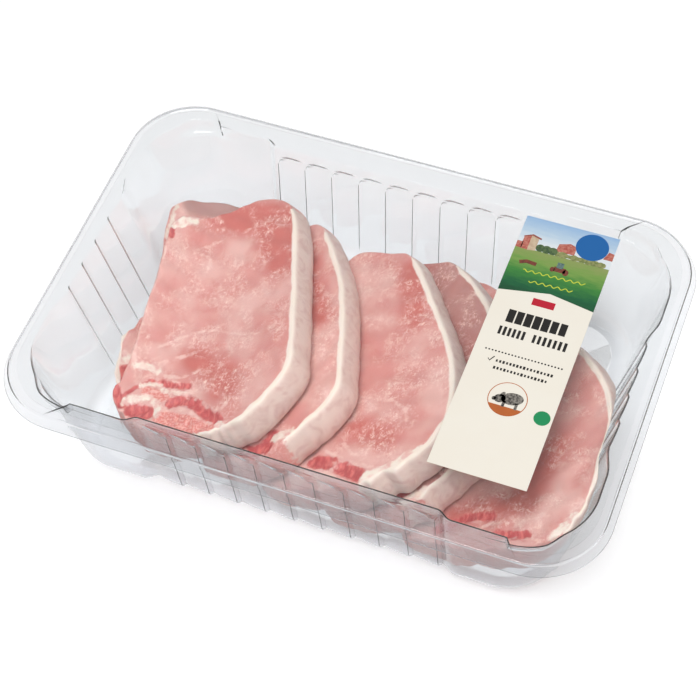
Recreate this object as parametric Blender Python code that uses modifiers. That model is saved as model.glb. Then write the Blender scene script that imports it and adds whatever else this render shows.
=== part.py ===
"""Sealed meat tray pack: a clear ribbed tray, its lidding film, a paper label and six pork chops.

The chops lie in the tray like fallen dominoes. Every chop is a plate in one shared tilted stack,
and one smooth settling of the whole stack fits it to the floor, the walls and the film, so that
neighbouring chops follow each other's faces and never cross.
Units are metres, +Z is up, and the origin is on the floor under the middle of the pack.
"""

import math

import bmesh
import bpy
from mathutils import Vector

# Tray: a thermoformed shell, measured on its inner face.
WALL = 0.0006
TRAY_HEIGHT = 0.058
MOUTH_HALF_LENGTH = 0.1210
MOUTH_HALF_WIDTH = 0.0780
MOUTH_CORNER = 0.0280
SHORT_WALL_SLOPE = 0.235
LONG_WALL_SLOPE = 0.085
CORNER_SLOPE = 0.080
HEEL_RADIUS = 0.0060
MOUTH_ROUNDING = 0.0015
FLANGE_HALF_LENGTH = 0.1278
FLANGE_HALF_WIDTH = 0.0878
LIP_FLARE = 0.0022
LIP_DROP = 0.0050
FLANGE_CORNER = 0.0285

# Wall relief: a stepped panel field in the middle of each wall, and a stacking lug at each corner.
PANEL_INSET = 0.0030
PANEL_STEP = 0.0014
PANEL_STEP_RUN = 0.0011
PANEL_TOP = 0.0505
LONG_PANELS = 10
LONG_PITCH = 0.0128
LONG_FADE = 0.0060
SHORT_PANELS = 4
SHORT_PITCH = 0.0131
SHORT_FADE = 0.0130
LUG_DEPTH = 0.0026
LUG_TOP = 0.0540
CORNER_STEPS = 7

# Film and label.
GAP = 0.0003
FILM_THICKNESS = 0.0002
FILM_HALF_LENGTH = 0.1240
FILM_HALF_WIDTH = 0.0838
FILM_CORNER = 0.0260
FILM_CORNER_STEPS = 6
LABEL_THICKNESS = 0.0002
LABEL_LENGTH = 0.1300
LABEL_WIDTH = 0.0410
LABEL_CENTRE = (0.0735, 0.0078)

# Chops: plates of one thickness, tilted about Y, in layers one pitch apart.
CHOP_TILT = math.radians(28.0)
CHOP_THICKNESS = 0.0160
LAYER_PITCH = 0.0166
TOP_EDGE_X = -0.0220
TOP_EDGE_Z = 0.0520
CHOP_SIDES = 36
CUP_START = -0.0420
CUP_CURVE = 7.3
FLOOR_SOFTNESS = 0.0030
FILM_SOFTNESS = 0.0010
WALL_SOFTNESS = 0.0016
CLEARANCE = 0.0005
WALL_CLEARANCE = 0.0011
SWELL = 0.0007

# A chop's rim, from its face edge round to its back: how far in from the outline, how deep.
CHOP_RIM = (
    (0.0012, 0.0000),
    (0.0002, 0.0010),
    (-0.0014, 0.0055),
    (-0.0018, 0.0105),
    (-0.0002, 0.0146),
    (0.0022, CHOP_THICKNESS),
)
FACE_RINGS = (0.45, 0.82)

# Each chop's layer in the stack and the outline of its face in plan, in millimetres,
# clockwise from the far end of its fat side, down to the bone end, and back up the inner side.
CHOPS = {
    "chop_1": (0, (
        (-52, 60), (-37, 27), (-21, -15), (-17, -34), (-31, -61), (-58, -67),
        (-87, -60), (-92, -26), (-97, 8), (-101, 39), (-86, 48), (-68, 65),
    )),
    "chop_2": (1, (
        (-38, 62), (-17, 30), (0, -14), (3, -34), (-13, -62), (-33, -67),
        (-52, -58), (-57, -25), (-57, 25), (-55, 58), (-47, 66),
    )),
    "chop_3": (2, (
        (6, 57), (24, 32), (45, -2), (53, -30), (47, -50), (27, -67),
        (0, -70), (-22, -60), (-31, -20), (-32, 30), (-25, 60), (-6, 61),
    )),
    "chop_4": (3, (
        (24, 66), (47, 41), (64, 8), (69, -22), (58, -50), (42, -66),
        (22, -69), (6, -60), (-3, -20), (-4, 30), (0, 63), (13, 70),
    )),
    "chop_5": (4, (
        (44, 64), (93, 27), (114, -3), (118, -30), (116, -58), (101, -72),
        (70, -73), (44, -66), (31, -30), (27, 20), (29, 70),
    )),
    "chop_6": (1, (
        (-70, 67), (-64, 50), (-63, 0), (-66, -40), (-80, -50), (-94, -46),
        (-105, -20), (-101, 0), (-107, 30), (-114, 56), (-99, 67), (-84, 71),
    )),
}

# Surface colours as linear RGB, with roughness.
CLEAR_PET = ((0.80, 0.84, 0.86), 0.08)
CLEAR_FILM = ((0.85, 0.88, 0.90), 0.12)
LABEL_PAPER = ((0.93, 0.88, 0.77), 0.55)
PORK = ((0.68, 0.29, 0.25), 0.38)


def make_material(name, finish, transmission=0.0):
    """Return a plain material with the finish's colour and roughness."""
    colour, roughness = finish
    material = bpy.data.materials.new(name)
    material.use_nodes = True
    shader = material.node_tree.nodes["Principled BSDF"]
    shader.inputs["Base Color"].default_value = (*colour, 1.0)
    shader.inputs["Roughness"].default_value = roughness
    shader.inputs["Metallic"].default_value = 0.0
    shader.inputs["Transmission Weight"].default_value = transmission
    material.diffuse_color = (*colour, 1.0)
    return material


def add_object(bm, name, material, collection):
    """Turn a bmesh into a named object in the collection."""
    mesh = bpy.data.meshes.new(name)
    bm.to_mesh(mesh)
    bm.free()
    mesh.materials.append(material)
    obj = bpy.data.objects.new(name, mesh)
    collection.objects.link(obj)
    return obj


def bridge(bm, lower, upper):
    """Join two closed rings of as many vertices with a band of quads."""
    count = len(lower)
    for i in range(count):
        j = (i + 1) % count
        bm.faces.new((lower[i], lower[j], upper[j], upper[i]))


# ---------------------------------------------------------------- tray


def smooth_step(value):
    """Ease from 0 to 1 as value goes from 0 to 1."""
    value = min(1.0, max(0.0, value))
    return value * value * (3.0 - 2.0 * value)


def panel_field(along, panels, pitch, fade):
    """Return how fully a place along a wall lies in the inset panel field, from 0 to 1."""
    return 1.0 - smooth_step((abs(along) - 0.5 * panels * pitch) / fade)


def wall_size(z):
    """Return the inner wall's half length, half width and corner radius at a height."""
    drop = TRAY_HEIGHT - z
    return (
        MOUTH_HALF_LENGTH - SHORT_WALL_SLOPE * drop,
        MOUTH_HALF_WIDTH - LONG_WALL_SLOPE * drop,
        MOUTH_CORNER - CORNER_SLOPE * drop,
    )


def side_stations(panels, pitch, fade, straight):
    """List places along one wall with their panel step: (along, step) from - to +."""
    start = -0.5 * panels * pitch
    stations = [(-straight, 0.0), (start - fade, 0.0)]
    for i in range(panels):
        stations.append((start + i * pitch, 0.0))
        stations.append((start + (i + 1) * pitch - PANEL_STEP_RUN, 1.0))
    stations += [(-start, 0.0), (-start + fade, 0.0), (straight, 0.0)]
    return stations


def ring_points(size, z, inset_share, lug_share, grow=0.0):
    """Return one closed ring of the tray's shell, anticlockwise from the +X wall.

    size holds the half length, half width and corner radius; inset_share and lug_share say how
    much of the panel relief and of the stacking lugs this height has.
    """
    length, width, corner = size
    corner += grow
    core_x = length + grow - corner
    core_y = width + grow - corner
    long_side = side_stations(LONG_PANELS, LONG_PITCH, LONG_FADE, core_x)
    short_side = side_stations(SHORT_PANELS, SHORT_PITCH, SHORT_FADE, core_y)
    ring = []
    for quarter in range(4):
        on_short = quarter % 2 == 0
        sign = 1.0 if quarter < 2 else -1.0
        panels, pitch, fade = (
            (SHORT_PANELS, SHORT_PITCH, SHORT_FADE) if on_short else (LONG_PANELS, LONG_PITCH, LONG_FADE)
        )
        for along, step in (short_side if on_short else long_side):
            field = panel_field(along, panels, pitch, fade)
            inset = inset_share * (PANEL_INSET * field - PANEL_STEP * step)
            if on_short:
                ring.append(Vector((sign * (length + grow - inset), sign * along, z)))
            else:
                ring.append(Vector((-sign * along, sign * (width + grow - inset), z)))
        for step in range(1, CORNER_STEPS):
            share = step / CORNER_STEPS
            angle = math.radians(90.0 * (quarter + share))
            to_long_wall = share if on_short else 1.0 - share
            lug = LUG_DEPTH * lug_share * smooth_step(3.0 * to_long_wall - 1.2)
            centre_x = core_x if quarter in (0, 3) else -core_x
            centre_y = core_y if quarter in (0, 1) else -core_y
            radius = corner + lug
            ring.append(Vector((centre_x + radius * math.cos(angle), centre_y + radius * math.sin(angle), z)))
    return ring


def build_tray(collection):
    """Build the tray: one open surface from the floor to the lip, made a thin wall."""
    bm = bmesh.new()
    floor = WALL
    heel = HEEL_RADIUS
    rings = []
    for angle in (0.0, 45.0, 90.0):
        turn = math.radians(angle)
        z = floor + heel * (1.0 - math.cos(turn))
        rings.append(ring_points(wall_size(z), z, 1.0, 0.0, -heel * (1.0 - math.sin(turn))))
    rings.append(ring_points(wall_size(PANEL_TOP), PANEL_TOP, 1.0, 0.0))
    rings.append(ring_points(wall_size(LUG_TOP), LUG_TOP, 0.35, 1.0))
    mouth = TRAY_HEIGHT - MOUTH_ROUNDING
    rings.append(ring_points(wall_size(mouth), mouth, 0.0, 1.0))
    rings.append(ring_points(wall_size(TRAY_HEIGHT), TRAY_HEIGHT, 0.0, 1.0, MOUTH_ROUNDING))
    flange = (FLANGE_HALF_LENGTH, FLANGE_HALF_WIDTH, FLANGE_CORNER)
    rings.append(ring_points(flange, TRAY_HEIGHT, 0.0, 0.0))
    rings.append(ring_points(flange, TRAY_HEIGHT - 0.35 * LIP_DROP, 0.0, 0.0, 0.6 * LIP_FLARE))
    rings.append(ring_points(flange, TRAY_HEIGHT - LIP_DROP, 0.0, 0.0, LIP_FLARE))
    vertices = [[bm.verts.new(point) for point in ring] for ring in rings]
    bm.faces.new(vertices[0])
    for lower, upper in zip(vertices, vertices[1:]):
        bridge(bm, lower, upper)
    bmesh.ops.recalc_face_normals(bm, faces=bm.faces)
    bm.normal_update()
    base = max(bm.faces, key=lambda face: len(face.verts))
    if base.normal.z < 0.0:
        bmesh.ops.reverse_faces(bm, faces=bm.faces)
    tray = add_object(bm, "tray", make_material("clear_pet", CLEAR_PET, 0.9), collection)
    shell = tray.modifiers.new("wall", "SOLIDIFY")
    shell.thickness = WALL
    shell.offset = -1.0
    shell.use_even_offset = True
    return tray


# ---------------------------------------------------------------- film and label


def build_film(collection):
    """Build the lidding film: a thin rounded sheet over the mouth, sealed to the flange."""
    bm = bmesh.new()
    base = TRAY_HEIGHT + GAP
    core_x = FILM_HALF_LENGTH - FILM_CORNER
    core_y = FILM_HALF_WIDTH - FILM_CORNER
    outline = []
    for quarter in range(4):
        centre_x = core_x if quarter in (0, 3) else -core_x
        centre_y = core_y if quarter in (0, 1) else -core_y
        for step in range(FILM_CORNER_STEPS + 1):
            angle = math.radians(90.0 * (quarter + step / FILM_CORNER_STEPS))
            x = centre_x + FILM_CORNER * math.cos(angle)
            y = centre_y + FILM_CORNER * math.sin(angle)
            outline.append(bm.verts.new((x, y, base)))
    sheet = bm.faces.new(outline)
    raised = bmesh.ops.extrude_face_region(bm, geom=[sheet])["geom"]
    top = [item for item in raised if isinstance(item, bmesh.types.BMVert)]
    bmesh.ops.translate(bm, verts=top, vec=(0.0, 0.0, FILM_THICKNESS))
    bmesh.ops.recalc_face_normals(bm, faces=bm.faces)
    return add_object(bm, "lid_film", make_material("lidding_film", CLEAR_FILM, 0.9), collection)


def build_label(collection):
    """Build the paper label: a thin rectangle lying on the film, long side across the tray."""
    bm = bmesh.new()
    bmesh.ops.create_cube(bm, size=1.0)
    bmesh.ops.scale(bm, verts=bm.verts, vec=(LABEL_WIDTH, LABEL_LENGTH, LABEL_THICKNESS))
    height = TRAY_HEIGHT + 2.0 * GAP + FILM_THICKNESS + 0.5 * LABEL_THICKNESS
    bmesh.ops.translate(bm, verts=bm.verts, vec=(*LABEL_CENTRE, height))
    return add_object(bm, "label", make_material("label_paper", LABEL_PAPER), collection)


# ---------------------------------------------------------------- chops


def soft_floor(value, limit, softness):
    """Keep a value above a limit, easing in over the softness."""
    excess = (value - limit) / softness
    if excess > 30.0:
        return value
    return limit + softness * math.log1p(math.exp(excess))


def soft_ceiling(value, limit, softness):
    """Keep a value below a limit, easing in over the softness."""
    return -soft_floor(-value, -limit, softness)


def wall_reach(point, core_x, core_y, corner):
    """Return how far the wall is from the rounded box's core line in this point's direction."""
    x, y, z = point
    field = 0.0
    if abs(y) > core_y and abs(x) < core_x:
        field = panel_field(x, LONG_PANELS, LONG_PITCH, LONG_FADE)
    elif abs(x) > core_x and abs(y) < core_y:
        field = panel_field(y, SHORT_PANELS, SHORT_PITCH, SHORT_FADE)
    heel = HEEL_RADIUS
    rise = max(0.0, z - WALL)
    tuck = heel - math.sqrt(max(0.0, heel * heel - (heel - rise) ** 2)) if rise < heel else 0.0
    return corner - tuck - PANEL_INSET * field - WALL_CLEARANCE


def settle(point):
    """Settle a point of the tilted stack into the tray: cup, swell, floor, film and walls."""
    x, y, z = point
    if x < CUP_START:
        z += CUP_CURVE * (x - CUP_START) ** 2
    z += SWELL * math.sin(x / 0.0135 + 0.6) * math.sin(y / 0.0170 - 0.4)
    z = soft_floor(z, WALL + CLEARANCE, FLOOR_SOFTNESS)
    z = soft_ceiling(z, TRAY_HEIGHT - CLEARANCE, FILM_SOFTNESS)
    length, width, corner = wall_size(z)
    core_x, core_y = length - corner, width - corner
    near = Vector((min(core_x, max(-core_x, x)), min(core_y, max(-core_y, y)), z))
    away = Vector((x, y, z)) - near
    if away.length < 1e-9:
        return Vector((x, y, z))
    reach = soft_ceiling(away.length, wall_reach((x, y, z), core_x, core_y, corner), WALL_SOFTNESS)
    return near + away * (reach / away.length)


def smooth_outline(points, count):
    """Return count places, evenly spaced, along the closed Catmull-Rom curve through points."""
    knots = [Vector((x * 0.001 / math.cos(CHOP_TILT), y * 0.001)) for x, y in points]
    fine = []
    total = len(knots)
    for i in range(total):
        p0, p1, p2, p3 = (knots[(i + j - 1) % total] for j in range(4))
        for step in range(12):
            t = step / 12.0
            fine.append(0.5 * (
                2.0 * p1 + (p2 - p0) * t + (2.0 * p0 - 5.0 * p1 + 4.0 * p2 - p3) * t * t
                + (3.0 * p1 - p0 - 3.0 * p2 + p3) * t ** 3
            ))
    lengths = [0.0]
    for i, place in enumerate(fine):
        lengths.append(lengths[-1] + (fine[(i + 1) % len(fine)] - place).length)
    spaced = []
    segment = 0
    for i in range(count):
        target = lengths[-1] * i / count
        while lengths[segment + 1] < target:
            segment += 1
        share = (target - lengths[segment]) / (lengths[segment + 1] - lengths[segment])
        spaced.append(fine[segment].lerp(fine[(segment + 1) % len(fine)], share))
    return spaced


def inset_outline(outline, distance):
    """Move every place of a clockwise outline inwards by a distance."""
    moved = []
    count = len(outline)
    for i, place in enumerate(outline):
        run = outline[(i + 1) % count] - outline[i - 1]
        inward = Vector((run.y, -run.x)).normalized()
        moved.append(place + inward * distance)
    return moved


def stack_point(place, depth, layer):
    """Place a point of a chop's plate in its layer of the tilted stack."""
    sine, cosine = math.sin(CHOP_TILT), math.cos(CHOP_TILT)
    down = depth + layer * LAYER_PITCH
    face_x = place.x * cosine
    face_z = TOP_EDGE_Z + (face_x - TOP_EDGE_X) * math.tan(CHOP_TILT)
    shift = layer * LAYER_PITCH * math.tan(CHOP_TILT) * sine
    return Vector((
        face_x + depth * sine,
        place.y,
        face_z - down * cosine - shift,
    ))


def build_chop(name, layer, points, material, collection):
    """Build one chop: face rings, a rounded rim and back rings, settled into the tray."""
    bm = bmesh.new()
    outline = smooth_outline(points, CHOP_SIDES)
    middle = sum(outline, Vector((0.0, 0.0))) / len(outline)
    rings = []
    for share in FACE_RINGS:
        rings.append([(middle.lerp(place, share), 0.0) for place in outline])
    for inset, depth in CHOP_RIM:
        rings.append([(place, depth) for place in inset_outline(outline, inset)])
    for share in reversed(FACE_RINGS):
        rings.append([(middle.lerp(place, share), CHOP_THICKNESS) for place in outline])
    vertices = [[bm.verts.new(settle(stack_point(place, depth, layer))) for place, depth in ring]
                for ring in rings]
    for lower, upper in zip(vertices, vertices[1:]):
        bridge(bm, lower, upper)
    for ring, depth in ((vertices[0], 0.0), (vertices[-1], CHOP_THICKNESS)):
        hub = bm.verts.new(settle(stack_point(middle, depth, layer)))
        for i, vertex in enumerate(ring):
            bm.faces.new((hub, vertex, ring[(i + 1) % len(ring)]))
    bmesh.ops.recalc_face_normals(bm, faces=bm.faces)
    chop = add_object(bm, name, material, collection)
    chop.data.shade_smooth()
    return chop


def main():
    """Build the pack."""
    for obj in list(bpy.data.objects):
        bpy.data.objects.remove(obj)
    collection = bpy.data.collections.new("meat_tray_pack")
    bpy.context.scene.collection.children.link(collection)
    build_tray(collection)
    build_film(collection)
    build_label(collection)
    for name, (layer, points) in CHOPS.items():
        build_chop(name, layer, points, make_material(name + "_meat", PORK), collection)


main()
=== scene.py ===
"""Sealed meat tray pack: clear PET tray, lidding film, printed label and six raw pork chops.

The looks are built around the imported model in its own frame, in metres, +Z up.
"""

import logging
import math
from dataclasses import dataclass, field
from enum import Enum
from functools import partial

import bmesh
import bpy
import numpy as np
from mathutils import Matrix, Vector

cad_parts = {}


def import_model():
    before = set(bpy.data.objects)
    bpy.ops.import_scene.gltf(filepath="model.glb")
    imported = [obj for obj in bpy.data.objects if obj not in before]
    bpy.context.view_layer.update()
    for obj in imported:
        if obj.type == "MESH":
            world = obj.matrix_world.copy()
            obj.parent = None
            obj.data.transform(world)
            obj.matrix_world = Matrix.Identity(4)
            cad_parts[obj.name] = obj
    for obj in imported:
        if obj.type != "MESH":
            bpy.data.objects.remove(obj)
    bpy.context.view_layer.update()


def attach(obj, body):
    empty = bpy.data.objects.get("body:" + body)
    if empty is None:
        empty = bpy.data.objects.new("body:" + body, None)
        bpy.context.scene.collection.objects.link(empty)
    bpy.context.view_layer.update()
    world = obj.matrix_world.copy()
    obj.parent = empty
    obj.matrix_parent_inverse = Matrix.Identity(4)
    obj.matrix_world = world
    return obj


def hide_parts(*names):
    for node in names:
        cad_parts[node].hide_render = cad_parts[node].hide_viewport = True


LOG = logging.getLogger("meat_tray_pack")
MM = 0.001
BODY = "root"
MATH = "ShaderNodeMath"
MIX = "ShaderNodeMix"
RANGE = "ShaderNodeMapRange"
NOISE = "ShaderNodeTexNoise"
MAPPING = "ShaderNodeMapping"
PRINCIPLED = "ShaderNodeBsdfPrincipled"
RGBA = {"output": 2, "data_type": "RGBA"}
EASED = {"interpolation_type": "SMOOTHSTEP"}


# ---------------------------------------------------------------- small tools


def srgb(code: str) -> tuple[float, float, float, float]:
    """Turn an sRGB hex colour into linear RGBA.

    Args:
        code: Six hex digits, such as "E9DFD2".

    Returns:
        Linear red, green and blue, and an alpha of 1.
    """
    channels = [int(code[i:i + 2], 16) / 255.0 for i in (0, 2, 4)]
    linear = [c / 12.92 if c <= 0.04045 else ((c + 0.055) / 1.055) ** 2.4 for c in channels]
    return (*linear, 1.0)


def add_node(tree: bpy.types.NodeTree, kind: str, inputs: dict | list | None = None, output: int | str = 0,
             **settings: object) -> bpy.types.NodeSocket | None:
    """Add one node to a tree, with its settings, values and links.

    Args:
        tree: The node tree.
        kind: The node's type name.
        inputs: Values, or outputs to link from, by socket name or number, or as a list in the sockets' order.
        output: Which output is wanted.
        **settings: Attributes of the node to set.

    Returns:
        The wanted output of the new node, or None where it has no outputs.
    """
    node = tree.nodes.new(kind)
    for name, value in settings.items():
        setattr(node, name, value)
    for key, value in (dict(enumerate(inputs)) if isinstance(inputs, list) else inputs or {}).items():
        socket = node.inputs[key]
        if isinstance(value, bpy.types.NodeSocket):
            tree.links.new(value, socket)
        else:
            socket.default_value = value
    return node.outputs[output] if node.outputs else None


def new_material(name: str) -> tuple[bpy.types.Material, partial]:
    """Make a material with an empty tree.

    Args:
        name: The material's name.

    Returns:
        The material, and add_node bound to its tree.
    """
    material = bpy.data.materials.new(name)
    material.use_nodes = True
    material.node_tree.nodes.clear()
    return material, partial(add_node, material.node_tree)


def mesh_object(name: str, vertices: np.ndarray, faces: list[tuple[int, ...]],
                materials: list[bpy.types.Material]) -> bpy.types.Object:
    """Make a mesh object at the origin.

    Args:
        name: The object's name.
        vertices: Places in metres, one row each.
        faces: Vertex indices of each face.
        materials: The object's material slots.

    Returns:
        The new object, linked to the scene.
    """
    mesh = bpy.data.meshes.new(name)
    mesh.from_pydata([tuple(v) for v in vertices.tolist()], [], faces)
    for material in materials:
        mesh.materials.append(material)
    piece = bpy.data.objects.new(name, mesh)
    bpy.context.scene.collection.objects.link(piece)
    return piece


def finish_piece(piece: bpy.types.Object, slot: str, *nodes: str) -> None:
    """Report a finished piece and tell the frame where it belongs.

    Args:
        piece: The finished mesh object.
        slot: The record's material slot; not used.
        nodes: The CAD nodes that it stands for.
    """
    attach(piece, BODY)
    if nodes:
        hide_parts(*nodes)
    LOG.info("%s: %d faces", piece.name, len(piece.data.polygons))


def apply_modifiers(piece: bpy.types.Object) -> bpy.types.Object:
    """Replace a piece's mesh by its evaluated mesh and remove its modifiers."""
    graph = bpy.context.evaluated_depsgraph_get()
    done = bpy.data.meshes.new_from_object(piece.evaluated_get(graph))
    piece.modifiers.clear()
    piece.data = done
    return piece


def face_outwards(piece: bpy.types.Object, opens_up: bool = False) -> None:
    """Make a piece's faces agree and point outwards.

    Args:
        piece: The piece.
        opens_up: True for an open tray, whose faces point to its inside, so its base points up.
    """
    shell = bmesh.new()
    shell.from_mesh(piece.data)
    bmesh.ops.recalc_face_normals(shell, faces=shell.faces)
    if opens_up and max(shell.faces, key=lambda face: len(face.verts)).normal.z < 0.0:
        bmesh.ops.reverse_faces(shell, faces=shell.faces)
    shell.to_mesh(piece.data)
    shell.free()


def ring_bands(rings: int, count: int) -> list[tuple[int, ...]]:
    """List the quads between rings of vertices numbered in order."""
    return [
        (r * count + i, r * count + (i + 1) % count, (r + 1) * count + (i + 1) % count, (r + 1) * count + i)
        for r in range(rings - 1) for i in range(count)
    ]


def smooth_step(value: float | np.ndarray) -> float | np.ndarray:
    """Ease from 0 to 1 as value goes from 0 to 1."""
    clipped = np.clip(value, 0.0, 1.0)
    return clipped * clipped * (3.0 - 2.0 * clipped)


def soft_floor(value: np.ndarray, limit: np.ndarray | float, softness: float) -> np.ndarray:
    """Keep values above a limit, easing in over the softness."""
    excess = (value - limit) / softness
    return np.where(excess > 30.0, value, limit + softness * np.log1p(np.exp(np.minimum(excess, 30.0))))


def soft_ceiling(value: np.ndarray, limit: np.ndarray | float, softness: float) -> np.ndarray:
    """Keep values below a limit, easing in over the softness."""
    return -soft_floor(-value, -limit, softness)


def waves(places: np.ndarray, length: float, seed: int, count: int = 7) -> np.ndarray:
    """Return a smooth random relief from a few crossing waves, about -1 to 1.

    Args:
        places: Coordinates, one row each, in metres.
        length: A typical wavelength in metres.
        seed: Which relief.
        count: How many waves.

    Returns:
        One value for each place.
    """
    rng = np.random.default_rng(seed)
    total = np.zeros(len(places))
    for _ in range(count):
        direction = rng.normal(size=places.shape[1])
        direction /= np.linalg.norm(direction)
        total += np.sin(places @ direction * (2.0 * math.pi / (length * rng.uniform(0.7, 1.5))) + rng.uniform(0, 6.3))
    return total / math.sqrt(count)


# ---------------------------------------------------------------- finishes


@dataclass(frozen=True)
class ClearPlastic:
    """Clear PET, thermoformed or as film."""

    # Glass-clear, and faintly grey where edges and ribs stack up. A slow ripple, left by the forming,
    # bends its highlights.
    name: str
    tint: str
    roughness: float
    ior: float = 1.48
    ripple_mm: float = 14.0
    ripple_height: float = 0.02

    def build(self) -> bpy.types.Material:
        """Build the material: glass that lets lamps through, so that the contents stay lit."""
        material, node = new_material(self.name)
        place = node("ShaderNodeTexCoord", output="Object")
        ripple = node(NOISE, {"Vector": place, "Scale": 1.0 / (self.ripple_mm * MM), "Detail": 2.0})
        bump = node("ShaderNodeBump", {"Strength": 0.25, "Distance": self.ripple_height * MM, "Height": ripple})
        glass = node(PRINCIPLED, {
            "Base Color": srgb(self.tint), "Roughness": self.roughness, "IOR": self.ior,
            "Transmission Weight": 1.0, "Normal": bump,
        })
        clear = node("ShaderNodeBsdfTransparent", {"Color": srgb(self.tint)})
        shadow = node("ShaderNodeLightPath", output="Is Shadow Ray")
        node("ShaderNodeOutputMaterial", {"Surface": node("ShaderNodeMixShader", [shadow, glass, clear])})
        return material


@dataclass(frozen=True)
class PorkFinish:
    """Raw pork as sawn: lean, muscle, bone and fat, laid out by each chop's own attributes.

    A mark's attribute tells how many millimetres a place lies inside its region.
    """

    # Moist and softly glossy. Pink lean with pale fibres, redder muscle by the bone, grainy bone, and cream fat that
    # is brightest along its cut edge. Painted shade makes the fat's side greyer, greys the hollow under a chop's edge
    # and darkens one whole chop. A little light passes under the surface.
    lean: str = "D9928B"
    pale: str = "E6B4AC"
    deep: str = "CC6C64"
    # Painted shade: a darker lean that stands in for the shade over a whole chop.
    shaded_lean: str = "A25E58"
    muscle: str = "BE4044"
    muscle_pale: str = "DC6E6A"
    fibre: str = "F5D3C9"
    bone: str = "DE7F79"
    bone_speck: str = "EEAFA3"
    fat_edge: str = "F4E5D8"
    # Painted shade: the fat's side is greyer and darker than its cut edge, as shade where it turns from the light.
    shaded_fat_side: str = "E0C6BC"
    fat_shade: str = "D2AEA6"
    rim_meat: str = "DC9188"
    # Painted shade: grey in the hollow under a neighbouring chop's edge.
    hollow: str = "A98580"

    # Each noise over the meat: its grain in millimetres, detail, roughness and distortion.
    noises: tuple = (
        ("edge", 3.2, 3.0, 0.6, 0.0), ("fine", 1.1, 3.0, 0.6, 0.0), ("slow", 9.0, 2.0, 0.5, 0.0),
        ("broad", 24.0, 2.0, 0.5, 0.0), ("patch", 8.0, 3.0, 0.55, 0.6), ("cluster", 15.0, 2.0, 0.5, 0.4),
        ("cloud", 3.4, 3.0, 0.6, 0.8), ("knots", 4.5, 3.0, 0.6, 0.0), ("gaps", 4.0, 2.0, 0.5, 0.0),
        ("smear", 6.5, 3.0, 0.6, 1.2),
    )
    # Fibres are finer than a millimetre, so they are drawn as threads just coarse enough to show:
    # their spacing in millimetres, the way they run in degrees, how thin they are, and their strength.
    fibres: tuple = ((4.2, 24.0, 0.034, 0.95), (2.6, -50.0, 0.040, 0.70))

    @staticmethod
    def inside(node: partial, read: dict, mark: str, wander: str, reach: float,
               soft: float) -> bpy.types.NodeSocket:
        """Return how much a place is inside a marked region, with a wandering soft edge.

        Args:
            node: add_node bound to the tree.
            read: The chop's attributes and noises by name.
            mark: The region's attribute.
            wander: The noise that moves its edge.
            reach: How far the edge wanders, in millimetres.
            soft: Width of the soft edge in millimetres.

        Returns:
            A share from 0 to 1.
        """
        shifted = node(MATH, [read[wander], 2.0 * reach, node(MATH, [read[mark], reach], operation="SUBTRACT")],
                       operation="MULTIPLY_ADD")
        return node(RANGE, [shifted, -0.5 * soft, 0.5 * soft], **EASED)

    @staticmethod
    def threads(node: partial, grain: bpy.types.NodeSocket, size_mm: float,
                turn_deg: float, fine: float) -> bpy.types.NodeSocket:
        """Return thin bright threads, where a warped noise crosses its middle value.

        Args:
            node: add_node bound to the tree.
            grain: The chop's own coordinates.
            size_mm: Spacing of the threads.
            turn_deg: The way they run.
            fine: How thin they are.

        Returns:
            A share from 0 to 1.
        """
        turned = node(MAPPING, {"Vector": grain, "Rotation": (0.0, 0.0, math.radians(turn_deg)),
                                "Scale": (1.0, 0.55, 1.0)})
        warped = node(NOISE, {"Vector": turned, "Scale": 1.0 / (size_mm * MM), "Detail": 3.0,
                              "Roughness": 0.62, "Distortion": 1.6})
        away = node(MATH, [node(MATH, [warped, 0.5], operation="SUBTRACT")], operation="ABSOLUTE")
        patches = node(NOISE, {"Vector": grain, "Scale": 1.0 / (0.6 * size_mm * MM), "Detail": 2.0})
        broken = node(RANGE, [patches, 0.44, 0.62], **EASED)
        return node(MATH, [node(RANGE, [away, fine, 0.2 * fine], **EASED), broken], operation="MULTIPLY")

    def lean_colour(self, node: partial, read: dict) -> bpy.types.NodeSocket:
        """Colour the cut lean: pale and deep areas, painted shade over a whole chop that lies in shade, and clusters
        of thin pale threads.

        Args:
            node: add_node bound to the tree.
            read: The chop's attributes and noises by name.

        Returns:
            The lean's colour.
        """
        clusters = node(RANGE, [read["cluster"], 0.42, 0.60], **EASED)
        washes = (
            (node(RANGE, [read["patch"], 0.46, 0.74, 0.0, 0.28], **EASED), self.deep),
            (node(MATH, [self.inside(node, read, "deep", "broad", 6.0, 9.0), 0.95], operation="MULTIPLY"), self.deep),
            # Painted shade: a share of darker lean over the whole chop, for a chop that lies in shade.
            (read["tone"], self.shaded_lean),
            (node(MATH, [node(RANGE, [read["cloud"], 0.45, 0.68, 0.0, 0.40], **EASED), clusters],
                  operation="MULTIPLY"), self.fibre),
        )
        lean = node(MIX, {0: node(RANGE, [read["broad"], 0.36, 0.68], **EASED), 6: srgb(self.lean),
                          7: srgb(self.pale)}, **RGBA)
        for share, colour in washes:
            lean = node(MIX, {0: share, 6: lean, 7: srgb(colour)}, **RGBA)
        for size_mm, turn_deg, fine, strength in self.fibres:
            share = self.threads(node, read["grain"], size_mm, turn_deg, fine)
            for factor in (strength, clusters):
                share = node(MATH, [share, factor], operation="MULTIPLY")
            lean = node(MIX, {0: share, 6: lean, 7: srgb(self.fibre)}, **RGBA)
        return lean

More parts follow.
